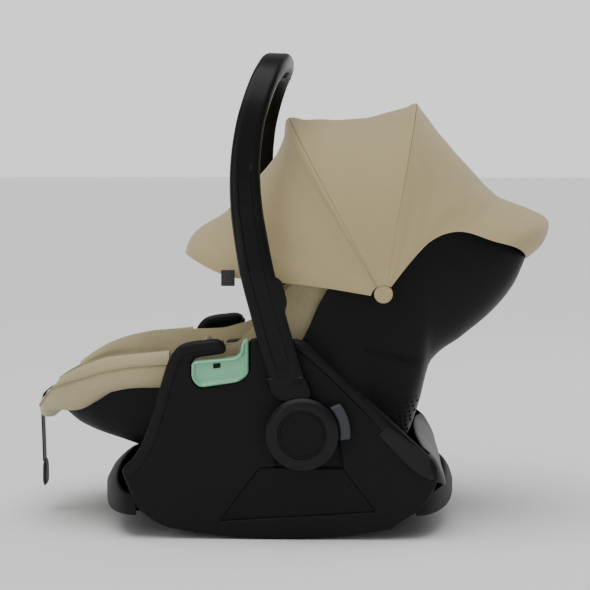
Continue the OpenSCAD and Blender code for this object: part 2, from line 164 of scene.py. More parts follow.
def bent_grid(across, along, place, cloth=(0.1, 0.1), ends=True, bm=None):
    """A grid bent so that u across it and v along it go to place(u, v); cloth is its size as laid flat."""
    bm = bm or bmesh.new()
    uv = bm.loops.layers.uv.get("cloth") or bm.loops.layers.uv.new("cloth")
    verts = bmesh.ops.create_grid(bm, x_segments=across, y_segments=along, size=0.5)["verts"]
    flat = {v: (v.co.x + 0.5, v.co.y + 0.5) for v in verts}
    for face in {f for v in verts for f in v.link_faces}:
        for loop in face.loops:
            u, v = flat[loop.vert]
            loop[uv].uv = (u * cloth[0], v * cloth[1])
    for vert, (u, v) in flat.items():
        vert.co = Vector(place(u, v)) * MM
    bmesh.ops.remove_doubles(bm, verts=verts, dist=2e-6)
    if ends:
        bmesh.ops.holes_fill(bm, edges=bm.edges, sides=0)
    bmesh.ops.recalc_face_normals(bm, faces=bm.faces)
    return bm


def make_piece(name, bm, material, body="root", stands_for=None, crisp=35):
    """Makes a mesh a piece on a body, smooth but for edges sharper than crisp degrees.

    It stands for the CAD node of its own name, where there is one, unless others are given."""
    mesh = bpy.data.meshes.new(name)
    bm.to_mesh(mesh)
    bm.free()
    mesh.shade_smooth()
    mesh.set_sharp_from_angle(angle=radians(crisp))
    mesh.materials.append(material)
    if stands_for is None:
        stands_for = [name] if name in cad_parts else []
    made = put(name + "_finished" if stands_for else name, mesh)
    if body:
        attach(made, body)
    if stands_for:
        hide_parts(*stands_for)
    return made


def hermite(start, end, slope, end_slope, h, t):
    """A cubic between two values with their slopes, over a run of h, at its share t."""
    return (start * (1 + 2 * t) * (1 - t) ** 2 + slope * h * t * (1 - t) ** 2 + end * t * t * (3 - 2 * t)
        + end_slope * h * t * t * (t - 1))


def curve_through(points):
    """A smooth curve through the points, as a function of the share of its length."""
    points = [Vector(p) for p in points]
    last = len(points) - 1
    reach = [0.0]
    for a, b in zip(points, points[1:]):
        reach.append(reach[-1] + (b - a).length)
    around = [(max(i - 1, 0), min(i + 1, last)) for i in range(last + 1)]
    slopes = [(points[b] - points[a]) / (reach[b] - reach[a]) for a, b in around]

    def at(share):
        s = min(max(share, 0), 1) * reach[-1]
        i = max(k for k in range(last) if reach[k] <= s or k == 0)
        h = reach[i + 1] - reach[i]
        return hermite(points[i], points[i + 1], slopes[i], slopes[i + 1], h, (s - reach[i]) / h)
    return at


black_webbing = webbing("black_polyester_webbing", "#0d0d0e", "#2a2a2c", 0.0016)
strap_route = [(-250, 169), (-264, 175), (-280, 177.5), (-297, 173), (-312, 168.5), (-325, 163),
    (-332.5, 156), (-335, 146), (-335.5, 126), (-335, 106), (-334.5, 86), (-334, 66)]
strap_width, strap_thick = 25, 1.5
strap_line = curve_through([(x, 0, z + 0.8) for x, z in strap_route])
strap_section = [(-0.5, 0), (-0.46, 0.5), (0.46, 0.5), (0.5, 0), (0.46, -0.5), (-0.46, -0.5)]


def strap(line, width, thick, rows, cloth, bm=None):
    """A closed flat strap along a line that keeps to one side-view plane."""
    def place(u, v):
        here, ahead = line(v), line(v + 0.01) - line(v - 0.01)
        out = Vector((-ahead.z, 0, ahead.x)).normalized()
        side, rise = strap_section[round(u * 6) % 6]
        return here + Vector((0, side * width, 0)) + out * rise * thick
    return bent_grid(6, rows, place, cloth, bm=bm)


adjuster_strap = make_piece("adjuster_strap", strap(strap_line, strap_width, strap_thick, 60, (0.06, 0.179)),
    black_webbing)


def tab_place(u, v):
    """The folded end: it widens to its tip, and is thickest across its sewn middle."""
    angle = 2 * pi * u
    half = 12.5 + 3.0 * min(v / 0.6, 1) - 5 * max(v - 0.8, 0) / 0.2 * 0.8
    deep = 2.6 * (1 - abs(2 * v - 1) ** 6 * 0.75)
    c, s = cos(angle), sin(angle)
    return (-332.6 + deep * copysign(abs(s) ** 0.6, s), half * copysign(abs(c) ** 0.5, c), 67 - 33 * v)


strap_tab = make_piece("strap_tab", bent_grid(28, 18, tab_place, (0.06, 0.033)), black_webbing,
    crisp=60)
strap_path = [tuple(strap_line(k / 30) * MM) for k in range(31)]

# ---- Floor and studio light ----
# A plain pale floor, one broad soft light from above, one from the camera's side and a
# weaker one from behind, as in a product studio.
floor_paint, floor_tree, floor_shader = start_material("pale_studio_floor", 0.9)
grime = add_node(floor_tree, "TexNoise", {"Scale": 3.0, "Detail": 2.0})
tint(floor_shader, grime, "#f2f2f1", "#f6f6f5")
floor_bm = bmesh.new()
bmesh.ops.create_grid(floor_bm, x_segments=1, y_segments=1, size=30)
floor_mesh = bpy.data.meshes.new("studio_floor")
floor_bm.to_mesh(floor_mesh)
floor_bm.free()
floor_mesh.materials.append(floor_paint)
put("studio_floor", floor_mesh)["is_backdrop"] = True
world = bpy.data.worlds.new("studio")
bpy.context.scene.world = world
world.use_nodes = True
air = world.node_tree
upward = add_node(air, "SeparateXYZ", {"Vector": add_node(air, "TexCoord", {}).outputs["Generated"]})
glow = add_node(air, "MapRange", {"Value": upward.outputs["Z"], "From Min": 0.08, "From Max": 0.2,
    "To Min": 1.22, "To Max": 0.3})
air.links.new(glow.outputs["Result"], air.nodes["Background"].inputs["Strength"])
air.nodes["Background"].inputs["Color"].default_value = linear("#ffffff")
sky = bpy.data.lights.new("overhead", "SUN")
sky.energy, sky.angle = 2.4, radians(60)
put("overhead", sky).rotation_euler = (radians(12), radians(-6), 0)
for name, spot, size, power in (("side", (-1.4, -2.4, 1.3), 1.2, 10), ("rear", (1.6, 1.2, 1.6), 1.2, 8)):
    lamp = bpy.data.lights.new(name, "AREA")
    lamp.size, lamp.energy = size, power
    light = put(name, lamp)
    light.location = spot
    light.rotation_euler = (Vector((0, 0, 0.3)) - Vector(spot)).to_track_quat("-Z", "Y").to_euler()

# ---- Side panels ----
# The two moulded side walls of the base, with the rocker's curved runner as their foot.
# Injection-moulded polypropylene with a fine leather grain and a rolled edge.


def moulded(name, colour, worn, roughness, grain=0.0012, depth=0.00012, coat=0.0, shine=0.18):
    """Moulded polypropylene or ABS: tool grain as fine bumps, cloudy gloss, paler where rubbed."""
    made, tree, shader = start_material(name, roughness, IOR=1.49, Specular_IOR_Level=shine, Coat_Weight=coat)
    place = add_node(tree, "TexCoord", {}).outputs["Object"]
    cells = add_node(tree, "TexVoronoi", {"Vector": place, "Scale": 1 / grain}, feature="SMOOTH_F1")
    cloud = add_node(tree, "TexNoise", {"Vector": place, "Scale": 14.0, "Detail": 4.0})
    fine = add_node(tree, "TexNoise", {"Vector": place, "Scale": 420.0, "Detail": 2.0})
    tone = add_node(tree, "Math", {0: cloud, 1: fine}, operation="MULTIPLY")
    tint(shader, tone, colour, worn)
    feed(shader, "Roughness", spread(tree, cloud, roughness - 0.07, roughness + 0.07))
    emboss(shader, cells, 0.35, depth)
    return made


def squarish(angle, power):
    """An angle's cosine and sine, pulled out from a circle towards a square."""
    return (copysign(abs(f(angle)) ** power, f(angle)) for f in (cos, sin))


def rounded(corners, radius, steps=5):
    """A closed outline with its corners rounded off."""
    out = []
    for i, here in enumerate(corners):
        here, before, after = Vector(here), Vector(corners[i - 1]), Vector(corners[(i + 1) % len(corners)])
        cut = min(radius, (before - here).length * 0.45, (after - here).length * 0.45)
        a, b = here + (before - here).normalized() * cut, here + (after - here).normalized() * cut
        for t in (k / steps for k in range(steps + 1)):
            out.append(a * (1 - t) ** 2 + here * 2 * t * (1 - t) + b * t * t)
    return out


def wall(bm, outline, profile, side):
    """Adds a wall round a side-view outline, through (inset, distance from the middle) pairs."""
    n, m = len(outline), len(profile) - 1
    area = sum(a.x * b.y - b.x * a.y for a, b in zip(outline, outline[1:] + outline[:1]))
    inward = []
    for i, here in enumerate(outline):
        run = (outline[(i + 1) % n] - outline[i - 1]).normalized()
        inward.append(Vector((-run.y, run.x)) * copysign(1, area))
    verts = bmesh.ops.create_grid(bm, x_segments=n, y_segments=m, size=0.5)["verts"]
    for v in verts:
        i, (inset, y) = round((v.co.x + 0.5) * n) % n, profile[round((v.co.y + 0.5) * m)]
        at = outline[i] + inward[i] * inset
        v.co = Vector((at.x, side * y, at.y)) * MM
    bmesh.ops.remove_doubles(bm, verts=verts, dist=2e-6)


def cap(bm, y, side):
    """Fills between the open edges that lie at a distance from the middle plane."""
    rim = [e for e in bm.edges if e.is_boundary and all(abs(v.co.y - side * y * MM) < 1e-6 for v in e.verts)]
    bmesh.ops.triangle_fill(bm, edges=rim, use_beauty=True)


def plate(outline, profile, side):
    """A closed plate with the edge that its profile gives."""
    bm = bmesh.new()
    wall(bm, outline, profile, side)
    cap(bm, profile[0][1], side)
    cap(bm, profile[-1][1], side)
    bmesh.ops.recalc_face_normals(bm, faces=bm.faces)
    return bm


def lattice(bm, pitch):
    """Cuts the mesh on an even lattice, so that its flat faces can be bent."""
    for axis in (0, 2):
        low, high = (f(v.co[axis] for v in bm.verts) for f in (min, max))
        normal = Vector((axis == 0, 0, axis == 2))
        for k in range(1, int((high - low) / (pitch * MM)) + 1):
            bmesh.ops.bisect_plane(bm, geom=bm.verts[:] + bm.edges[:] + bm.faces[:], dist=1e-7,
                plane_co=normal * (low + k * pitch * MM), plane_no=normal)


def tuck(z):
    """How far the base's sides draw in below their widest height."""
    return 9 * (max(95 - z, 0) / 95) ** 2


def draw_in(bm, side):
    """Draws the sides of the base in towards the floor."""
    for v in bm.verts:
        v.co.y -= side * tuck(v.co.z / MM) * MM


both_sides = ((-1, "left"), (1, "right"))
base_plastic = moulded("matte_polypropylene_base", "#070708", "#161617", 0.55)
rocker_r, rocker_x = 700, -12
rocker = [(x, rocker_r - sqrt(rocker_r ** 2 - (x - rocker_x) ** 2)) for x in range(-150, 126, 11)]
head_edge = [(137, 23), (153, 33), (164, 42), (176, 61), (182, 78), (182, 92), (172, 105)]
foot_edge = [(-50, 250), (-50, 208), (-62, 199), (-110, 190), (-119, 200), (-119, 225), (-79, 231),
    (-77, 240), (-90, 248), (-124, 243), (-137, 239), (-148, 223), (-158, 190), (-168, 156), (-180, 123),
    (-193, 100), (-208, 88), (-188, 37), (-166, 21)]
panel_edge = rounded(rocker + head_edge + [(20, 246), (10, 249)] + foot_edge, 9, 3)
recess_edge = rounded([(-87, 23), (107, 36), (66, 90), (60, 128), (-20, 128), (-16, 92), (-37, 91)], 5, 4)
runner_edge = [Vector((x, z + 0.5)) for x, z in rocker] + [Vector((x, z + 8)) for x, z in rocker[::-1]]
for side, end in both_sides:
    bm = bmesh.new()
    wall(bm, panel_edge, [(0, 190), (0, 193), (0.7, 195.4), (2.2, 197), (4.6, 197.6)], side)
    wall(bm, recess_edge, [(-1.4, 197.6), (-0.3, 197), (0.4, 195.5), (0.9, 191.6)], side)
    for depth in (190, 197.6, 191.6):
        cap(bm, depth, side)
    lattice(bm, 13)
    draw_in(bm, side)
    wall(bm, runner_edge, [(1, 173), (0, 175), (0, 188)], side)
    cap(bm, 173, side)
    cap(bm, 188, side)
    bmesh.ops.recalc_face_normals(bm, faces=bm.faces)
    make_piece("side_panel_" + end, bm, base_plastic, crisp=50)

# ---- Inset panels ----
# A darker, smoother panel sunk into each side under the hub, clipped in from behind.
inset_plastic = moulded("smooth_polypropylene_inset", "#050505", "#0d0d0e", 0.48, depth=0.00006)
inset_edge = rounded([(-89, 22), (109, 35), (66.5, 90.5), (-37.5, 91.5)], 4, 4)
for side, end in both_sides:
    bm = plate(inset_edge, [(0, 192), (0, 194.2), (0.8, 195.2), (2.6, 195.7)], side)
    lattice(bm, 13)
    draw_in(bm, side)
    make_piece("inset_panel_" + end, bm, inset_plastic)

# ---- Rim trim ----
# The rolled edge of each side wall: one band climbs the foot end and hooks over the belt
# guide, the other runs down from behind the arm and widens into the tail.
# The rim's plastic is a shade paler than the side walls': a painted highlight along the rolled edge.
rim_painted_highlight_plastic = moulded("matte_polypropylene_rim_painted_highlight", "#09090a", "#1a1a1c", 0.46)


def band(line, width, near, far, side, rows, bm=None):
    """A closed band along a side-view line, with a rounded-off section."""
    def place(u, v):
        here, ahead = line(v), (line(v + 0.01) - line(v - 0.01)).normalized()
        c, s = squarish(2 * pi * u, 0.55)
        tip = min(1, (1 - abs(2 * v - 1)) * 30) ** 0.5 * 0.35 + 0.65
        x, z = here.x - ahead.y * c * width(v) / 2 * tip, here.y + ahead.x * c * width(v) / 2 * tip
        return (x, side * ((near + far) / 2 + s * (far - near) / 2 * tip - tuck(z)), z)
    return bent_grid(28, rows, place, bm=bm)


foot_line = curve_through([(-199, 80), (-187, 96), (-172, 121), (-160.5, 155), (-151, 189), (-141, 220),
    (-132, 233), (-120, 237.5), (-104, 239.5), (-90, 240.5), (-82, 236)])
head_line = curve_through([(2, 243), (14, 238), (34, 222), (50, 208), (78, 181), (106, 153), (124, 134),
    (136, 122)])
for side, end in both_sides:
    bm = band(foot_line, lambda v: 15, 177, 199.6, side, 70)
    band(head_line, lambda v: 13 + 5 * v ** 3, 178, 199.5, side, 60, bm=bm)
    make_piece("rim_trim_" + end, bm, rim_painted_highlight_plastic, crisp=60)

# ---- Tail ----
# The rear crossmember: one smooth moulding that carries the rims round the head end and
# closes the base behind the seat.
# The tail's plastic is a paler copy of the base's: a painted highlight on its rounded top.
tail_painted_highlight_plastic = moulded("satin_polypropylene_tail_painted_highlight", "#161618", "#2a2a2c", 0.42, depth=0.00006)
tail_top = curve_through([(120, 143, -197), (142, 127, -202), (157, 116, -202), (168, 108, -195),
    (171, 106, -178), (165, 108, -150), (161, 109, -110), (158, 110, -50), (157.5, 110, 0)])
tail_low = curve_through([(108, 132, -197), (136, 104, -202), (158, 86, -202), (178, 76, -196),
    (188, 70, -180), (191, 63, -158), (193, 59, -115), (194, 57, -50), (194, 56, 0)])


def tail_place(u, v):
    """Round the tail's section, from one side of the base to the other."""
    half = 1 - abs(2 * v - 1)
    side = -1 if v < 0.5 else 1
    top, low = tail_top(half), tail_low(half)
    c, s = squarish(2 * pi * u, 0.6)
    along = (top + low) / 2 + (top - low) / 2 * c
    flank = max(0, 1 - half * 3.2)
    x, z, y = along.x + 3.2 * s * (1 - flank), along.y + 2.2 * s * (1 - flank), -along.z + 3.0 * s * flank
    return (x + 5 * (1 - c * c) * (1 - flank) * 0.8, side * y, z)


make_piece("rear_crossmember", bent_grid(28, 120, tail_place), tail_painted_highlight_plastic, crisp=60)

# ---- Belt guides ----
# Green guides that show where the car's lap belt goes: a scoop under each hook with a
# raised lip, in glossy coloured ABS.
green_abs = moulded("glossy_green_abs", "#6fb08a", "#8cc8a4", 0.24, depth=0.00003, coat=0.3, shine=0.5)
guide_edge = rounded([(-119.5, 221.5), (-119.5, 200), (-110, 189.6), (-62.2, 196.6), (-49.8, 205.8),
    (-49.8, 249), (-57, 247), (-60, 232), (-66, 226.5), (-90, 224.5)], 6, 5)
notch_edge = rounded([(-93, 213), (-84, 214), (-84, 220), (-93, 219)], 1, 3)
for side, end in both_sides:
    bm = plate(guide_edge, [(0, 178), (0, 199.5), (0.8, 201.2), (2.4, 201.8), (3.6, 201), (4.6, 198.5),
        (6.2, 197.8)], side)
    make_piece("belt_guide_" + end, bm, green_abs, crisp=50)
    make_piece("guide_notch_" + end, plate(notch_edge, [(0, 195), (0, 198.4), (0.5, 198.8)], side),
        inset_plastic)

# ---- Hoops ----
# The curved bands that join the side walls at each end and guard the docking release:
# polypropylene, leaning out at the foot end.


def hoop(end_x, reach, heights, lean):
    """A closed band round one end of the base; heights are its low and high edge at the sides and middle."""
    (low_side, high_side), (low_mid, high_mid) = heights

    def place(u, v):
        a = pi * (v - 0.5)
        mid = cos(a) ** 1.5
        low, high = low_side + (low_mid - low_side) * mid, high_side + (high_mid - high_side) * mid
        c, s = squarish(2 * pi * u, 0.5)
        out = 3 * s - lean * mid * max(c, 0) ** 1.6
        return (end_x + (reach + out * copysign(1, reach)) * cos(a), (190 + 3 * s) * sin(a),
            (low + high) / 2 + (high - low) / 2 * c)
    return bent_grid(24, 90, place)


def tray(end_x, reach, inner_x, z):
    """The web that closes the space inside a hoop, a closed half-round plate."""
    def place(u, v):
        a = pi * (v - 0.5)
        share = min(1, max(0, 1 - abs(4 * u - 2) + 0.5) if u not in (0, 1) else 0)
        return (inner_x + (end_x + reach * cos(a) - inner_x) * share, 186 * sin(a) * (0.92 + 0.08 * share),
            z + (1.5 if u < 0.5 else -1.5))
    return bent_grid(8, 60, place)


bm = hoop(-190, -52, ((30, 54), (27, 78)), 20)
make_piece("foot_hoop", bm, base_plastic, crisp=60)
make_piece("foot_tray", tray(-190, -48, -150, 36), inset_plastic, crisp=60)
bm = hoop(155, 50, ((31, 56), (32, 66)), 8)
make_piece("head_hoop", bm, base_plastic, crisp=60)
make_piece("head_tray", tray(150, 50, 118, 38), inset_plastic, crisp=60)

# ---- Hidden base parts ----
# Steel docking bars, pins and screws with a brushed zinc finish, and the moulded floor
# pan that ties the sides together under the seat.


def brushed(name, colour, dull, roughness):
    """Zinc-plated steel: a bright metal with fine drawn lines along it."""
    made, tree, shader = start_material(name, roughness, Metallic=1.0)
    place = add_node(tree, "TexCoord", {}).outputs["Object"]
    drawn = add_node(tree, "Mapping", {"Vector": place, "Scale": (900.0, 12.0, 900.0)})
    lines = add_node(tree, "TexNoise", {"Vector": drawn, "Scale": 1.0, "Detail": 3.0})
    tint(shader, lines, dull, colour)
    feed(shader, "Roughness", spread(tree, lines, roughness - 0.1, roughness + 0.1))
    return made


def dress(node_material, *nodes):
    """Gives CAD nodes that stay as they are a finished material."""
    for name in nodes:
        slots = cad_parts[name].data.materials
        slots.clear()
        slots.append(node_material)


zinc_steel = brushed("zinc_plated_steel", "#b9bbbd", "#8d8f92", 0.35)
dress(zinc_steel, "dock_bar_front", "dock_bar_rear", "hub_pin_left", "hub_pin_right", "dock_release_pin",
    "pan_screws", "button_spring_left", "button_spring_right", "buckle_tongues")
dress(base_plastic, "floor_pan")
grey_plastic = moulded("grey_acetal_lever", "#4b4d50", "#66686b", 0.42, depth=0.00008)
lever_edge = rounded([(154, 52), (158, 44), (190, 32), (195.5, 34), (190, 49), (166, 58)], 3, 4)
bm = plate(lever_edge, [(2, -45), (0.5, -44.4), (0, -42.5), (0, 42.5), (0.5, 44.4), (2, 45)], 1)
make_piece("dock_release_lever", bm, grey_plastic, "dock_release_body")

# ---- Seat shell ----
# The bucket: one injection moulding in black polypropylene, creased where the head part
# bulges out over the waist, with rows of vent holes low on its back corners.
shell_plastic = moulded("black_polypropylene_shell", "#060607", "#131314", 0.5)


def graph(*points):
    """A smooth line through a table of (x, value), with no bump between its points."""
    xs, ys = zip(*points)
    grades = [(b - a) / (q - p) for p, q, a, b in zip(xs, xs[1:], ys, ys[1:])]
    inside = [0 if a * b <= 0 else 2 * a * b / (a + b) for a, b in zip(grades, grades[1:])]
    slopes = [grades[0]] + inside + [grades[-1]]

    def at(x):
        x = min(max(x, xs[0]), xs[-1])
        i = max(k for k in range(len(grades)) if xs[k] <= x)
        h = xs[i + 1] - xs[i]
        return hermite(ys[i], ys[i + 1], slopes[i], slopes[i + 1], h, (x - xs[i]) / h)
    return at


def ease(low, high, x):
    """0 below low, 1 above high, and smooth between."""
    t = min(max((x - low) / (high - low), 0), 1)
    return t * t * (3 - 2 * t)


shell_bottom = graph((-318, 160), (-296, 148), (-268, 126), (-204, 102), (-120, 72), (-40, 58), (60, 58),
    (110, 74), (144, 106), (161, 150), (176, 206), (217, 239), (254, 270), (282, 304), (300, 345), (314, 372))
shell_rim = graph((-318, 166), (-296, 172), (-240, 196), (-142, 212), (-20, 228), (13, 243), (37, 292),
    (70, 336), (120, 374), (180, 386), (240, 384), (290, 378), (314, 374))
shell_half = graph((-318, 70), (-296, 108), (-268, 132), (-240, 146), (-142, 158), (0, 166), (50, 162),
    (90, 154), (120, 150), (150, 146), (200, 132), (250, 116), (290, 93), (314, 66))
shell_foot_x, shell_length, shell_thick = -318, 632, 3.2
crease = graph((60, 240), (87, 234), (132, 222), (166, 213), (180, 205))


def shell_place(u, v):
    """Across the U of the shell from rim to rim, and along it from foot to head."""
    x = shell_foot_x + shell_length * v
    c, s = cos(pi * u), sin(pi * u)
    y = shell_half(x) * copysign(abs(c) ** 0.5, c)
    z = shell_rim(x) - (shell_rim(x) - shell_bottom(x)) * max(s, 0) ** 0.5
    waist = ease(62, 100, x) * (1 - ease(140, 184, x)) * (1 - ease(-2.5, 2.5, z - crease(x)))
    risen = (z - shell_bottom(x)) / (shell_rim(x) - shell_bottom(x))
    lobe = ease(120, 220, x) * sin(pi * min(max(risen, 0), 1))
    return (x, y * (1 - 0.03 * waist + 0.02 * lobe), z)


bm = bent_grid(150, 180, shell_place, ends=False)
bmesh.ops.solidify(bm, geom=bm.faces[:], thickness=shell_thick * MM)
bmesh.ops.recalc_face_normals(bm, faces=bm.faces)
make_piece("seat_shell", bm, shell_plastic, crisp=50)


def disc(bm, centre, radius, depth, segments):
    """Adds a short round bar that lies across the seat."""
    bmesh.ops.create_cone(bm, cap_ends=True, segments=segments, radius1=radius * MM, radius2=radius * MM,
        depth=depth * MM, matrix=Matrix.Translation(Vector(centre) * MM) @ Matrix.Rotation(pi / 2, 4, "X"))


# Vent holes: round openings on a diagonal grid, with the unlit black of a hole's inside.
hole_dark, _, _ = start_material("unlit_hole", 0.95, Base_Color=linear("#030303"))
vent_edge_x = graph((110, 150), (118, 151), (130, 153.5), (150, 161), (172, 167))
vent_radius, vent_depth = 1.9, 1.6
bm = bmesh.new()
for row in range(8):
    z = 126 + row * 6.2
    for column in range(4):
        x = vent_edge_x(z) - 7 - column * 6.4 - (row % 2) * 3.2
        if column == 3 and row > 4:
            continue
        for side in (-1, 1):
            low, high, half = shell_bottom(x), shell_rim(x), shell_half(x)
            share = min(max((high - z) / (high - low), 0.0), 1.0) ** 2
            y = half * sqrt(max(1 - share ** 2, 0)) ** 0.5 * 0.97
            disc(bm, (x, side * (y - 0.35), z), vent_radius, vent_depth, 12)
make_piece("vent_holes", bm, hole_dark)

# ---- Foam liner ----
# Expanded polystyrene between shell and cover, which takes up the energy of a crash:
# dull grey, with the small round beads that it is steamed together from.
made, tree, shader = start_material("grey_polystyrene_foam", 0.85)
place = add_node(tree, "TexCoord", {}).outputs["Object"]
beads = add_node(tree, "TexVoronoi", {"Vector": place, "Scale": 300.0})
tint(shader, beads, "#3c3c3f", "#2b2b2d")
emboss(shader, beads, 0.4, 0.0004)
dress(made, "foam_liner")

# ---- Padded cover ----
# The fabric liner: melange polyester knit over soft foam, one piece from the foot lip up
# the wings and the back, with a sewn seam along each wing.


def knit(name, dark, light):
    """Melange knit: two yarn colours mixed stitch by stitch, soft, with a slight fuzz."""
    made, tree, shader = start_material(name, 0.85, Sheen_Weight=0.25, Sheen_Roughness=0.5)
    place = add_node(tree, "TexCoord", {}).outputs["Object"]
    yarn = add_node(tree, "TexNoise", {"Vector": place, "Scale": 520.0, "Detail": 3.0, "Roughness": 0.7})
    drift = add_node(tree, "TexNoise", {"Vector": place, "Scale": 9.0, "Detail": 3.0})
    stitches = add_node(tree, "TexVoronoi", {"Vector": place, "Scale": 620.0})
    tone = add_node(tree, "Math", {0: yarn, 1: drift}, operation="ADD")
    tint(shader, spread(tree, tone, -0.35, 0.85), dark, light)
    emboss(shader, stitches, 0.55, 0.0006)
    return made


beige_knit = knit("beige_melange_knit", "#7d7257", "#b3a682")
seat_floor = graph((-316, 156), (-296, 167), (-279, 172), (-255, 165), (-180, 128), (-100, 106), (-20, 98),
    (45, 100), (70, 114), (110, 162), (250, 330), (290, 366), (308, 374))
cover_top = graph((-316, 172), (-292, 194), (-259, 213), (-230, 222), (-192, 228), (-110, 230), (-84, 236),
    (-66, 242), (-44, 264), (-15, 296), (30, 338), (80, 369), (140, 386), (200, 389), (250, 385), (290, 380),
    (308, 378))


def cover_place(u, v):
    """Round the closed section of the cover: outside from rim to rim, then back inside."""
    x = -299 + 600 * v
    u = 0 if u > 0.999 else u
    inner = u > 0.5
    a = pi * (2 * (1 - u) if inner else 2 * u)
    c, s = cos(a), max(sin(a), 0)
    half = shell_half(x) - 8.8 - (12 if inner else 0)
    low = seat_floor(x) - (0 if inner else 12)
    top = cover_top(x)
    seam = 2.2 * exp(-((abs(c) - 0.72) / 0.03) ** 2) if inner else 0
    return (x, (half + seam) * copysign(abs(c) ** 0.5, c), top - (top - low) * s ** 0.5 - seam)


cover = make_piece("seat_cover", bent_grid(120, 90, cover_place), beige_knit, crisp=80)

# ---- Foot roll ----
# A thick soft roll sewn over the foot end of the shell, in the same knit, with a piped
# seam where its top panel meets its side panel.
roll_low = graph((-330, 132), (-305, 150), (-280, 152), (-251, 165), (-228, 178), (-190, 184), (-150, 185))
roll_high = graph((-330, 160), (-318, 168), (-309, 179), (-292, 196), (-259, 213), (-230, 222), (-150, 231))
piping_z = graph((-330, 146), (-318, 160), (-303, 178), (-286, 186), (-257, 196), (-228, 205), (-190, 212),
    (-150, 215))
roll_thick, roll_x, roll_reach, roll_half = 23, -150, 180, 172


def roll_point(v, out, rise):
    """A point of the roll: out from its middle by a share of its thickness, up by one of its height."""
    a = pi * (v - 0.5)
    c, s = cos(a), sin(a)
    bow = copysign(abs(s) ** 0.5, s)
    inset = roll_thick / 2 * (1 - out)
    low, high = (edge(roll_x - roll_reach * c) for edge in (roll_low, roll_high))
    return (roll_x - (roll_reach - inset) * c, (roll_half - inset) * bow,
        (low + high) / 2 + rise * (high - low) / 2)


def roll_place(u, v):
    """Round the roll's section, pinched where the piping is sewn in."""
    return roll_point(v, *squarish(2 * pi * u, 0.72))


roll = make_piece("cover_rim", bent_grid(36, 150, roll_place), beige_knit, crisp=80)


def tube_place(line, radius):
    """A round tube along a line that is a function of the share of its length."""
    def place(u, v):
        here = Vector(line(v))
        ahead = (Vector(line(min(v + 0.004, 1))) - Vector(line(max(v - 0.004, 0)))).normalized()
        out = ahead.cross(Vector((0, 0, 1))).normalized()
        up = out.cross(ahead)
        return here + (out * cos(2 * pi * u) + up * sin(2 * pi * u)) * radius
    return place


def piping_line(v):
    """Where the piped seam runs, on the roll's outer face."""
    x0 = roll_x - roll_reach * cos(pi * (v - 0.5))
    low, high = roll_low(x0), roll_high(x0)
    rise = min(max((piping_z(x0) - (low + high) / 2) / ((high - low) / 2), -0.9), 0.9)
    return roll_point(v, (1 - abs(rise) ** 2.8) ** 0.36 + 0.03, rise)


# The piping's knit is a darker copy of the roll's: painted shade along the seam.
piping_painted_shade_cloth = knit("beige_piping_painted_shade", "#6d6349", "#9b8f6d")
make_piece("foot_piping", bent_grid(10, 220, tube_place(piping_line, 1.5)), piping_painted_shade_cloth,
    crisp=80)

# ---- Seat pad ----
# A loose newborn cushion in the seat's hollow, filled with soft wadding.


def as_shown(piece):
    """A new mesh of the piece with its modifiers applied."""
    return bpy.data.meshes.new_from_object(piece.evaluated_get(bpy.context.evaluated_depsgraph_get()))


def stuff(piece, voxel, pressure, most):
    """Blows a cushion up as its filling does: even mesh, cloth under pressure, held to most millimetres."""
    even = piece.modifiers.new("even", "REMESH")
    even.mode, even.voxel_size = "VOXEL", voxel * MM
    start = as_shown(piece)
    piece.modifiers.clear()
    old, piece.data = piece.data, start
    bpy.data.meshes.remove(old)
    swell = piece.modifiers.new("swell", "CLOTH")
    swell.settings.use_pressure = True
    swell.settings.uniform_pressure_force = pressure
    swell.settings.effector_weights.gravity = 0
    swell.settings.tension_stiffness = swell.settings.compression_stiffness = 30
    for step in range(1, 21):
        bpy.context.scene.frame_set(step)
    blown = as_shown(piece)
    for a, b in zip(start.vertices, blown.vertices):
        gap = b.co - a.co
        b.co = a.co + gap * min(1, most * MM / max(gap.length, 1e-9))
    piece.modifiers.clear()
    blown.shade_smooth()
    piece.data = blown
    bpy.data.meshes.remove(start)
    bpy.context.scene.frame_set(1)
    finer = piece.modifiers.new("finer", "SUBSURF")
    finer.levels = finer.render_levels = 1


def pillow_profile(half, edge):
    """The rounded side of a cushion that is 2 half wide."""
    ramp = [(edge * inset, half - edge * drop) for inset, drop in ((1, 0), (0.5, 0.25), (0.15, 0.7),
        (0, 1.4))]
    return [(inset, -y) for inset, y in ramp] + [(0, 0)] + ramp[::-1]


pad_knit = knit("soft_newborn_knit", "#857a5e", "#b9ad8a")
pad_edge = rounded([(-88, 112), (-20, 105), (45, 107), (70, 121), (126, 183), (116, 195), (60, 128),
    (30, 119), (-20, 117), (-88, 123)], 5, 3)
seat_pad = make_piece("seat_pad", plate(pad_edge, pillow_profile(69, 5), 1), pad_knit,
    crisp=80)
stuff(seat_pad, 5, 2, 3)

# ---- Harness ----
# Crotch strap and pad, buckle, shoulder straps and their pads: polyester webbing, knit
# sleeves over foam, and a moulded buckle with a red button.


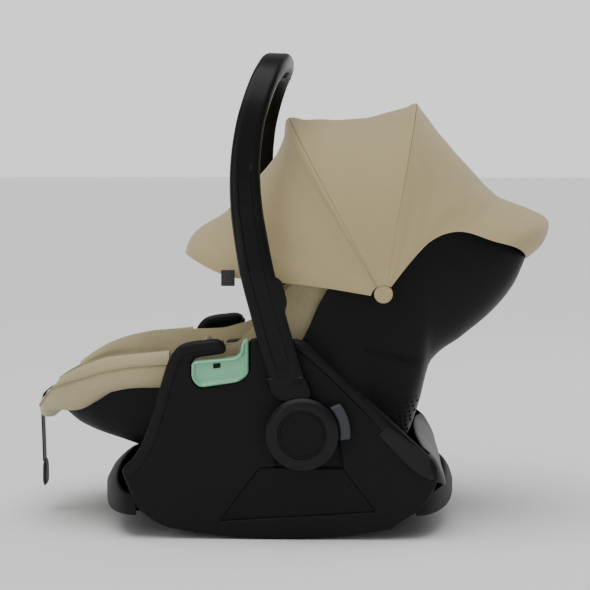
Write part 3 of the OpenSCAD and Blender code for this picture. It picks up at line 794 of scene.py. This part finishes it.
crotch_line = curve_through([(-106.8, 0, 112.2), (-109, 0, 138), (-110.8, 0, 165)])
make_piece("crotch_strap", strap(crotch_line, 38, 2.2, 40, (0.076, 0.22)), black_webbing)
bm = bmesh.new()
for across in (-36, 36):
    shoulder_line = curve_through([(x, across, z) for x, z in ((-92, 223), (-30, 229.5), (20, 236.5),
        (70, 243), (118, 248))])
    strap(shoulder_line, 30, 1.8, 40, (0.06, 0.22), bm)
make_piece("shoulder_straps", bm, black_webbing)
pad_end = rounded([(8, 233), (112, 247), (112, 258), (60, 254), (8, 247)], 5, 4)
for across, end in ((-36, "left"), (36, "right")):
    bm = plate(pad_end, pillow_profile(22, 5), 1)
    bmesh.ops.translate(bm, verts=bm.verts, vec=Vector((0, across * MM, 0)))
    pad = make_piece("shoulder_pad_" + end, bm, pad_knit,
        stands_for=["shoulder_pads"] if end == "left" else (), crisp=80)
    stuff(pad, 4, 2, 2)
crotch_edge = rounded([(-128, 129), (-120.5, 129), (-116.5, 180), (-108, 224), (-112, 233), (-121, 232),
    (-128.5, 180)], 4, 4)
crotch_pad = make_piece("crotch_pad", plate(crotch_edge, pillow_profile(28, 4), 1), beige_knit,
    crisp=80)
stuff(crotch_pad, 4, 2, 2.5)
black_abs = moulded("black_acetal_buckle", "#0f0f10", "#232325", 0.35, depth=0.00005)
red_abs = moulded("red_acetal_button", "#a81f24", "#c23a3a", 0.32, depth=0.00004)


def block(low, high, edge):
    """A moulded block between two corners, with its edges rounded."""
    bm = bmesh.new()
    low, high = Vector(low) * MM, Vector(high) * MM
    bmesh.ops.create_cube(bm, size=1, matrix=Matrix.Translation((low + high) / 2)
        @ Matrix.Diagonal((*(high - low), 1)))
    bmesh.ops.bevel(bm, geom=bm.edges[:], offset=edge * MM, segments=4, affect="EDGES", profile=0.5,
        material=-1)
    return bm


def buckle():
    """The buckle's body with the well that its button sits in."""
    bm = block((-108, -26, 166), (-86.5, 26, 210), 4)
    front = max(bm.faces, key=lambda f: f.calc_center_median().x)
    bmesh.ops.inset_region(bm, faces=[front], thickness=8 * MM)
    bmesh.ops.inset_region(bm, faces=[front], thickness=0.6 * MM)
    well = bmesh.ops.extrude_face_region(bm, geom=[front])["geom"]
    bmesh.ops.translate(bm, verts=[v for v in well if isinstance(v, bmesh.types.BMVert)],
        vec=Vector((-4 * MM, 0, 0)))
    bmesh.ops.delete(bm, geom=[front], context="FACES")
    return bm


make_piece("buckle_body", buckle(), black_abs)
make_piece("buckle_button", block((-91, -15, 177), (-83.8, 15, 199), 2), red_abs,
    "buckle_button_body")


def on_slope(bm):
    """Stands a piece on the sloping cover where the adjuster is."""
    slope = atan((165 - 128) / 75)
    bmesh.ops.transform(bm, verts=bm.verts, matrix=Matrix.Translation(Vector((-222, 0, 148.7)) * MM)
        @ Matrix.Rotation(slope, 4, "Y"))
    return bm


bezel = block((-22, -26, 1), (22, 26, 10), 3)
top = max(bezel.faces, key=lambda f: f.calc_center_median().z)
bmesh.ops.inset_region(bezel, faces=[top], thickness=8.5 * MM)
bmesh.ops.inset_region(bezel, faces=[top], thickness=0.3 * MM)
bmesh.ops.translate(bezel, verts=top.verts, vec=Vector((0, 0, -8.4 * MM)))
make_piece("adjuster_bezel", on_slope(bezel), black_abs)
make_piece("adjuster_button", on_slope(block((-9.3, -12.3, 6), (9.3, 12.3, 11.4), 1.5)), grey_plastic,
    "adjuster_button_body")

# ---- Headrest ----
# A padded head support on a plastic board that slides up the seat back, with a wing on
# each side of the head and a pull at its top.
back_angle = radians(50.2)


def on_back(a, y, b):
    """A point a up the seat back, y across and b out of it."""
    c, s = cos(back_angle), sin(back_angle)
    return (140 + a * c - b * s, y, 198 + a * s + b * c)


wing_ring = curve_through([(0, 14.6), (-50, 14.6), (-74, 18), (-79, 45), (-76, 68), (-64, 74), (-53, 66),
    (-50, 46), (-42, 36), (0, 34), (42, 36), (50, 46), (53, 66), (64, 74), (76, 68), (79, 45), (74, 18),
    (50, 14.6), (0, 14.6)])


def headrest_place(u, v):
    """The headrest's section, its wings lower at the ends of the board."""
    y, b = wing_ring(u)
    fade = sin(pi * min(max(v, 0), 1)) ** 0.35
    tip = min(1, (1 - abs(2 * v - 1)) * 6) ** 0.5
    b = 15 + (b - 15) * (0.35 + 0.65 * fade if b > 38 else 1) * (0.55 + 0.45 * tip)
    return on_back(14 + 124 * v, y * (0.93 + 0.07 * tip), b)


headrest = make_piece("headrest_pad", bent_grid(96, 40, headrest_place), beige_knit,
    "headrest_body", crisp=80)
stuff(headrest, 6, 1.5, 3)
dress(black_abs, "headrest_shell")
pull = block((0, -20, 14), (8, 20, 24), 2.5)
for v in pull.verts:
    a, y, b = v.co / MM
    v.co = Vector(on_back(a + 138.4, y, b)) * MM
make_piece("headrest_pull", pull, grey_plastic, "headrest_body")

# ---- Carry handle ----
# One hollow nylon arch: a flat bevelled section with a sunk panel down its outer face,
# closed by a cover on the inside, and stepped where each arm fits its hub bracket.
handle_plastic = moulded("satin_nylon_handle", "#070708", "#151517", 0.36, depth=0.00008)
arm_line = [(6, 208, 172), (-15, 208.4, 243), (-27, 208.4, 286), (-38, 207.2, 328), (-46, 200, 368),
    (-53, 186, 412), (-55, 172, 462), (-50, 160, 508), (-42, 147, 540), (-33, 127, 566), (-25, 100, 582),
    (-21, 66, 588.5), (-20, 30, 590)]
handle_line = curve_through([(x, -y, z) for x, y, z in arm_line] + arm_line[::-1])


def arm_frame(v):
    """The handle's place at a share of its length: middle, across the arm, out of it, thickness."""
    ahead = (handle_line(v + 0.006) - handle_line(v - 0.006)).normalized()
    up = 1 if v < 0.5 else -1
    wide = Vector((ahead.z * up + 1.2 * abs(ahead.y), 0, -ahead.x * up)).normalized()
    out = wide.cross(ahead).normalized()
    if handle_line(v).dot(out * Vector((0, 1, 1))) < 0 and handle_line(v).y * out.y < 0:
        out = -out
    return handle_line(v), wide, out, 13 + 13 * abs(ahead.y)


arm_half = [(0.0, 0.5, 1), (0.13, 0.5, 1), (0.2, 0.5, 1), (0.225, 0.5, 0), (0.3, 0.5, 0), (0.385, 0.47, 0),
    (0.45, 0.4, 0), (0.49, 0.26, 0), (0.5, 0.1, 0), (0.5, -0.1, 0), (0.485, -0.2, 0), (0.44, -0.25, 0),
    (0.3, -0.26, 0), (0.0, -0.26, 0)]
arm_section = arm_half + [(-q, p, sunk) for q, p, sunk in arm_half[-2:0:-1]]


def arm_width(v):
    """The arm is 41 mm wide at its foot and slimmer over the top, with a thumb step behind."""
    return 41.5 - 7.5 * ease(0.14, 0.36, 0.5 - abs(v - 0.5))


def handle_place(u, v):
    """Round the handle's section, with its outer face sunk along the middle of each arm."""
    v = 0.018 + 0.964 * v
    q, p, sunk = arm_section[round(u * len(arm_section)) % len(arm_section)]
    here, wide, out, thick = arm_frame(v)
    half = 0.5 - abs(v - 0.5)
    panel = sunk * ease(0.035, 0.045, half) * (1 - ease(0.25, 0.28, half))
    step = 6 * ease(0.098, 0.112, half) * (1 - ease(0.135, 0.139, half)) if q > 0.44 else 0
    end = 1 - 0.06 * (1 - ease(0.018, 0.021, half))
    return here + wide * (q * arm_width(v) + step) * end + out * (p * thick * end - 1.1 * panel)


make_piece("handle_frame", bent_grid(len(arm_section), 260, handle_place), handle_plastic,
    "handle", crisp=28)


inner_section = [(-0.42, -0.24), (-0.42, -0.38), (-0.36, -0.44), (0.36, -0.44), (0.42, -0.38), (0.42, -0.24)]


def inner_place(u, v):
    """Round the section of the inside cover, a little narrower than the arm."""
    q, p = inner_section[round(u * 6) % 6]
    here, wide, out, thick = arm_frame(0.03 + 0.94 * v)
    return here + wide * q * arm_width(v) + out * p * thick


make_piece("handle_inner_cover", bent_grid(6, 160, inner_place), inset_plastic, "handle",
    crisp=50)
# The grip's rubber is dull and dark, with fine ribs across it that catch the light.
rubber, tree, shader = start_material("soft_rubber_grip", 0.7)
place = add_node(tree, "TexCoord", {}).outputs["Object"]
ribs = waves(tree, place, 0.004, "Y")
tint(shader, ribs, "#161617", "#252527")
emboss(shader, ribs, 0.8, 0.0008)
dress(rubber, "grip_pad")

# ---- Hub brackets ----
# Each arm ends in a moulded bracket with a rounded tongue that laps over its hub ring.
bracket_edge = rounded([(-25.5, 196), (-20, 181), (-9, 174.5), (5, 171), (15, 171.5), (24, 177), (27.5, 184),
    (20, 206), (-28, 203.5)], 7, 5)
for side, end in both_sides:
    bm = plate(bracket_edge, [(2, 203.4), (0, 204.2), (0, 212.2), (0.8, 214), (2.6, 215.2)], side)
    make_piece("hub_bracket_" + end, bm, handle_plastic, "handle")

# ---- Hubs ----
# The pivot of each arm: a disc on the steel pin, and over it a turned-looking cap with a
# bevelled ring, a fine groove and a flat middle, moulded in charcoal ABS.
hub_plastic = moulded("satin_charcoal_hub", "#101012", "#222225", 0.38, depth=0.00007)
disc_plastic = moulded("matte_black_hub_disc", "#060607", "#0f0f10", 0.5, depth=0.00009)


hub_x, hub_z = 16, 135


def turned(profile, side, material, name):
    """A piece turned about the hub's axis from (radius, distance from the middle plane) pairs."""
    bm = bmesh.new()
    made = [bm.verts.new(Vector((hub_x + r, side * y, hub_z)) * MM) for r, y in profile]
    edges = [bm.edges.new(pair) for pair in zip(made, made[1:])]
    bmesh.ops.spin(bm, geom=made + edges, cent=Vector((hub_x, 0, hub_z)) * MM, axis=(0, 1, 0), angle=2 * pi,
        steps=96, use_merge=True)
    bmesh.ops.remove_doubles(bm, verts=bm.verts, dist=1e-6)
    bmesh.ops.recalc_face_normals(bm, faces=bm.faces)
    make_piece(name, bm, material, "handle", crisp=30)


hub_turnings = (("pivot_disc_", hub_plastic, [(0, 203), (39, 203), (40.4, 204.4), (40.4, 213), (39, 214.2),
    (0, 214.2)]), ("hub_cap_", hub_plastic, [(0, 214.4), (43.4, 214.4), (44.4, 215.4), (44.2, 217),
    (40.5, 220.4), (38.6, 221.2), (31, 221.8), (30.2, 221.6), (29.6, 220.4), (0, 220.4)]),
    ("hub_disc_", disc_plastic, [(0, 220.3), (28.7, 220.3), (28.7, 221), (28, 221.5), (27, 221.6),
    (26.6, 221.2), (26.2, 221.2), (25.8, 221.6), (0, 221.6)]))
for side, end in both_sides:
    for name, material, profile in hub_turnings:
        turned(profile, side, material, name + end)

# ---- Release buttons ----
# A curved grey thumb button on the rear of each hub, pressed towards the pivot to free the
# handle; it has a fine spark-eroded grip texture.
button_plastic = moulded("grey_abs_button", "#34363a", "#4e5054", 0.45, grain=0.0018, depth=0.00022)
button_arcs = [(58.8, d) for d in range(-6, 40, 5)] + [(46, d) for d in range(44, -12, -6)]
button_edge = rounded([(hub_x + r * cos(radians(d)), hub_z + r * sin(radians(d))) for r, d in button_arcs],
    2.2, 2)
for side, end in both_sides:
    bm = plate(button_edge, [(0.6, 202.4), (0, 203), (0, 211.6), (0.7, 213), (2.2, 213.8), (3.2, 213.4)],
        side)
    make_piece("release_button_" + end, bm, button_plastic, "release_" + end, crisp=40)

# ---- Canopy ----
# Three panels of sand-coloured polyester canvas stretched over two bows and a stiff brim,
# with a raised channel sewn over the front bow and an elastic nose over the head rim.


def canvas(name, dark, light):
    """Plain-woven polyester canvas: fine over-and-under threads, matt, uneven in tone along the yarn."""
    made, tree, shader = start_material(name, 0.78, Sheen_Weight=0.2, Sheen_Roughness=0.4)
    uv = add_node(tree, "UVMap", {}, uv_map="cloth")
    warp, weft = (waves(tree, uv, 0.0014, direction) for direction in "XY")
    weave = add_node(tree, "Math", {0: warp, 1: weft}, operation="MULTIPLY")
    slubs = add_node(tree, "Mapping", {"Vector": uv, "Scale": (60.0, 600.0, 1.0)})
    yarn = add_node(tree, "TexNoise", {"Vector": slubs, "Scale": 1.0, "Detail": 3.0})
    tone = add_node(tree, "Math", {0: yarn, 1: weave}, operation="ADD")
    tint(shader, spread(tree, tone, 0.0, 0.62), dark, light)
    feed(shader, "Roughness", spread(tree, yarn, 0.7, 0.88))
    emboss(shader, weave, 0.35, 0.0003)
    return made


sand_canvas = canvas("sand_polyester_canvas", "#a0906a", "#bfad83")
pivot = Vector((115, 0, 298))
front_turn, rear_turn = -28.7, 10.1
reach_at = graph((-80, 262), (-77, 261.5), (-74, 258), (-63.4, 228), (-55, 221), (-47, 218.6), (-40, 222),
    (-34.3, 232.4), (-31.2, 245), (-29.8, 252), (-28.7, 254), (-27.6, 252), (-25, 243), (-21.6, 237),
    (-14, 227), (-5.6, 224), (2.5, 231), (7.2, 238), (10.1, 245), (12.4, 236.6), (20.5, 214.5), (30.7, 197.7),
    (43.9, 190), (50.1, 191.7), (56, 202.5), (61.2, 217), (67.6, 232.3), (73, 219), (76.5, 197))
hem_at = graph((-80, 16), (33, 16), (39, 86), (47, 117), (62.6, 150), (73, 183), (76.5, 188))


def bell(x, width):
    """1 at x = 0, falling off smoothly to 0 over a few widths."""
    return exp(-(x / width) ** 2)


def canopy_point(across, angle, sink=0.0):
    """A point of the canopy at an angle from upright, across it from hem to hem, sunk under its surface."""
    reach, hem = reach_at(angle), hem_at(angle)
    near_bow = max(bell(angle - k, 9) for k in (front_turn, rear_turn, -79))
    reach -= sink
    start = asin(min(hem / (reach + sink), 1) ** 1.3)
    a = start + (pi - 2 * start) * across
    c, s = cos(a), max(sin(a), 0)
    half = 178 - 6 * (1 - near_bow) * s - sink
    far = copysign(abs(c) ** (2 / 2.6), c) * half
    high = reach * s ** (2 / 2.6)
    droop = 3.6 * (1 - ease(-79, -60, angle)) * bell(min(across, 1 - across) - 0.2, 0.13)
    t = radians(angle - droop)
    return pivot + Vector((high * sin(t), far, high * cos(t)))


def wrinkles(across, angle):
    """Soft creases that fan out from the bows' ends, deepest beside the bows, in millimetres."""
    folds = sin(across * 46 + angle * 0.35) * bell(angle + 22, 9) * bell(across - 0.3, 0.22)
    folds += 0.8 * sin(across * 34 - angle * 0.5) * bell(angle - 18, 10)
    return 0.5 * folds + 0.35 * sin(across * 19 + angle * 0.21)


def fabric_panel(first, last, rows, channel=None):
    """One panel of canopy between two angles: outer and inner face with a bound hem all round."""
    def place(u, v):
        angle = first + (last - first) * v
        u = 0 if u > 0.999 else u
        inner = u > 0.5
        across = 2 * (1 - u) if inner else 2 * u
        proud, stitch = 0, 0
        if channel is not None:
            proud = 1.6 * bell(angle - channel, 1.1)
            stitch = sum(0.7 * bell(angle - channel - k, 0.35) for k in (-2.6, 2.6))
        edge = 1 - min(1, min(across, 1 - across) / 0.012)
        return canopy_point(across, angle, (1.6 if inner else 0) - proud + stitch + wrinkles(across, angle)
            + edge * (0.6 if inner else -0.6))
    return bent_grid(240, rows, place, (1.1, 0.35))


def bow_top(angle):
    """The highest point of the fabric at an angle, in metres."""
    return tuple(canopy_point(0.5, angle) * MM)


for name, span, bodies, ends, flat, area, frames in (
        ("canopy_rear_panel", (rear_turn + 0.15, 76.5, 90), ("root", "rear_bow_body"),
         (62, rear_turn + 2), (0.50, 0.30), 0.094, ["rear_bow", "seat_shell"]),
        ("canopy_middle_panel", (front_turn + 0.15, rear_turn, 60), ("rear_bow_body", "front_bow_body"),
         (rear_turn - 2, front_turn + 2), (0.62, 0.17), 0.071, ["rear_bow", "front_bow"]),
        ("canopy_visor_panel", (-79.5, front_turn, 80, front_turn - 1.5), ("front_bow_body", "visor_body"),
         (front_turn - 4, -74), (0.60, 0.22), 0.096, ["front_bow", "visor_brim"])):
    panel = make_piece(name, fabric_panel(*span), sand_canvas, None, crisp=60)
    bow_top(ends[0])
    bow_top(ends[1])
    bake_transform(panel)
bow_plastic = moulded("black_nylon_bow", "#0e0e0f", "#1c1c1e", 0.5)
dress(bow_plastic, "rear_bow", "front_bow", "visor_brim")
bm = bmesh.new()
for side in (-1, 1):
    disc(bm, (pivot.x, side * 162, pivot.z), 3, 18, 32)
make_piece("canopy_pins", bm, bow_plastic)


def lay_cloth(bm):
    """A cloth map straight from the side view."""
    uv = bm.loops.layers.uv.new("cloth")
    for face in bm.faces:
        for loop in face.loops:
            loop[uv].uv = (loop.vert.co.x, loop.vert.co.z)


# A round patch of the same canvas closes each lower corner, over the bows' eyes.
bm = bmesh.new()
for side in (-1, 1):
    disc(bm, (114.5, side * 176.2, 303), 11.5, 2.4, 48)
bmesh.ops.bevel(bm, geom=[e for e in bm.edges if len(e.link_faces) == 2 and e.calc_face_angle() > 1],
    offset=1 * MM, segments=3, affect="EDGES", profile=0.5, material=-1)
lay_cloth(bm)
make_piece("canopy_corner", bm, sand_canvas)

# ---- Side tag ----
# A small folded label of black satin ribbon sewn into the canopy's near hem, left plain.
tag_bm = block((-86, -158.4, 311), (-69, -157, 331), 0.4)
lay_cloth(tag_bm)
make_piece("side_tag", tag_bm, black_webbing, "visor_body")

# ---- Finish ----
size = {"cad": [list(map(float, c)) for c in cad_box], "visual": [list(map(float, c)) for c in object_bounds()]}
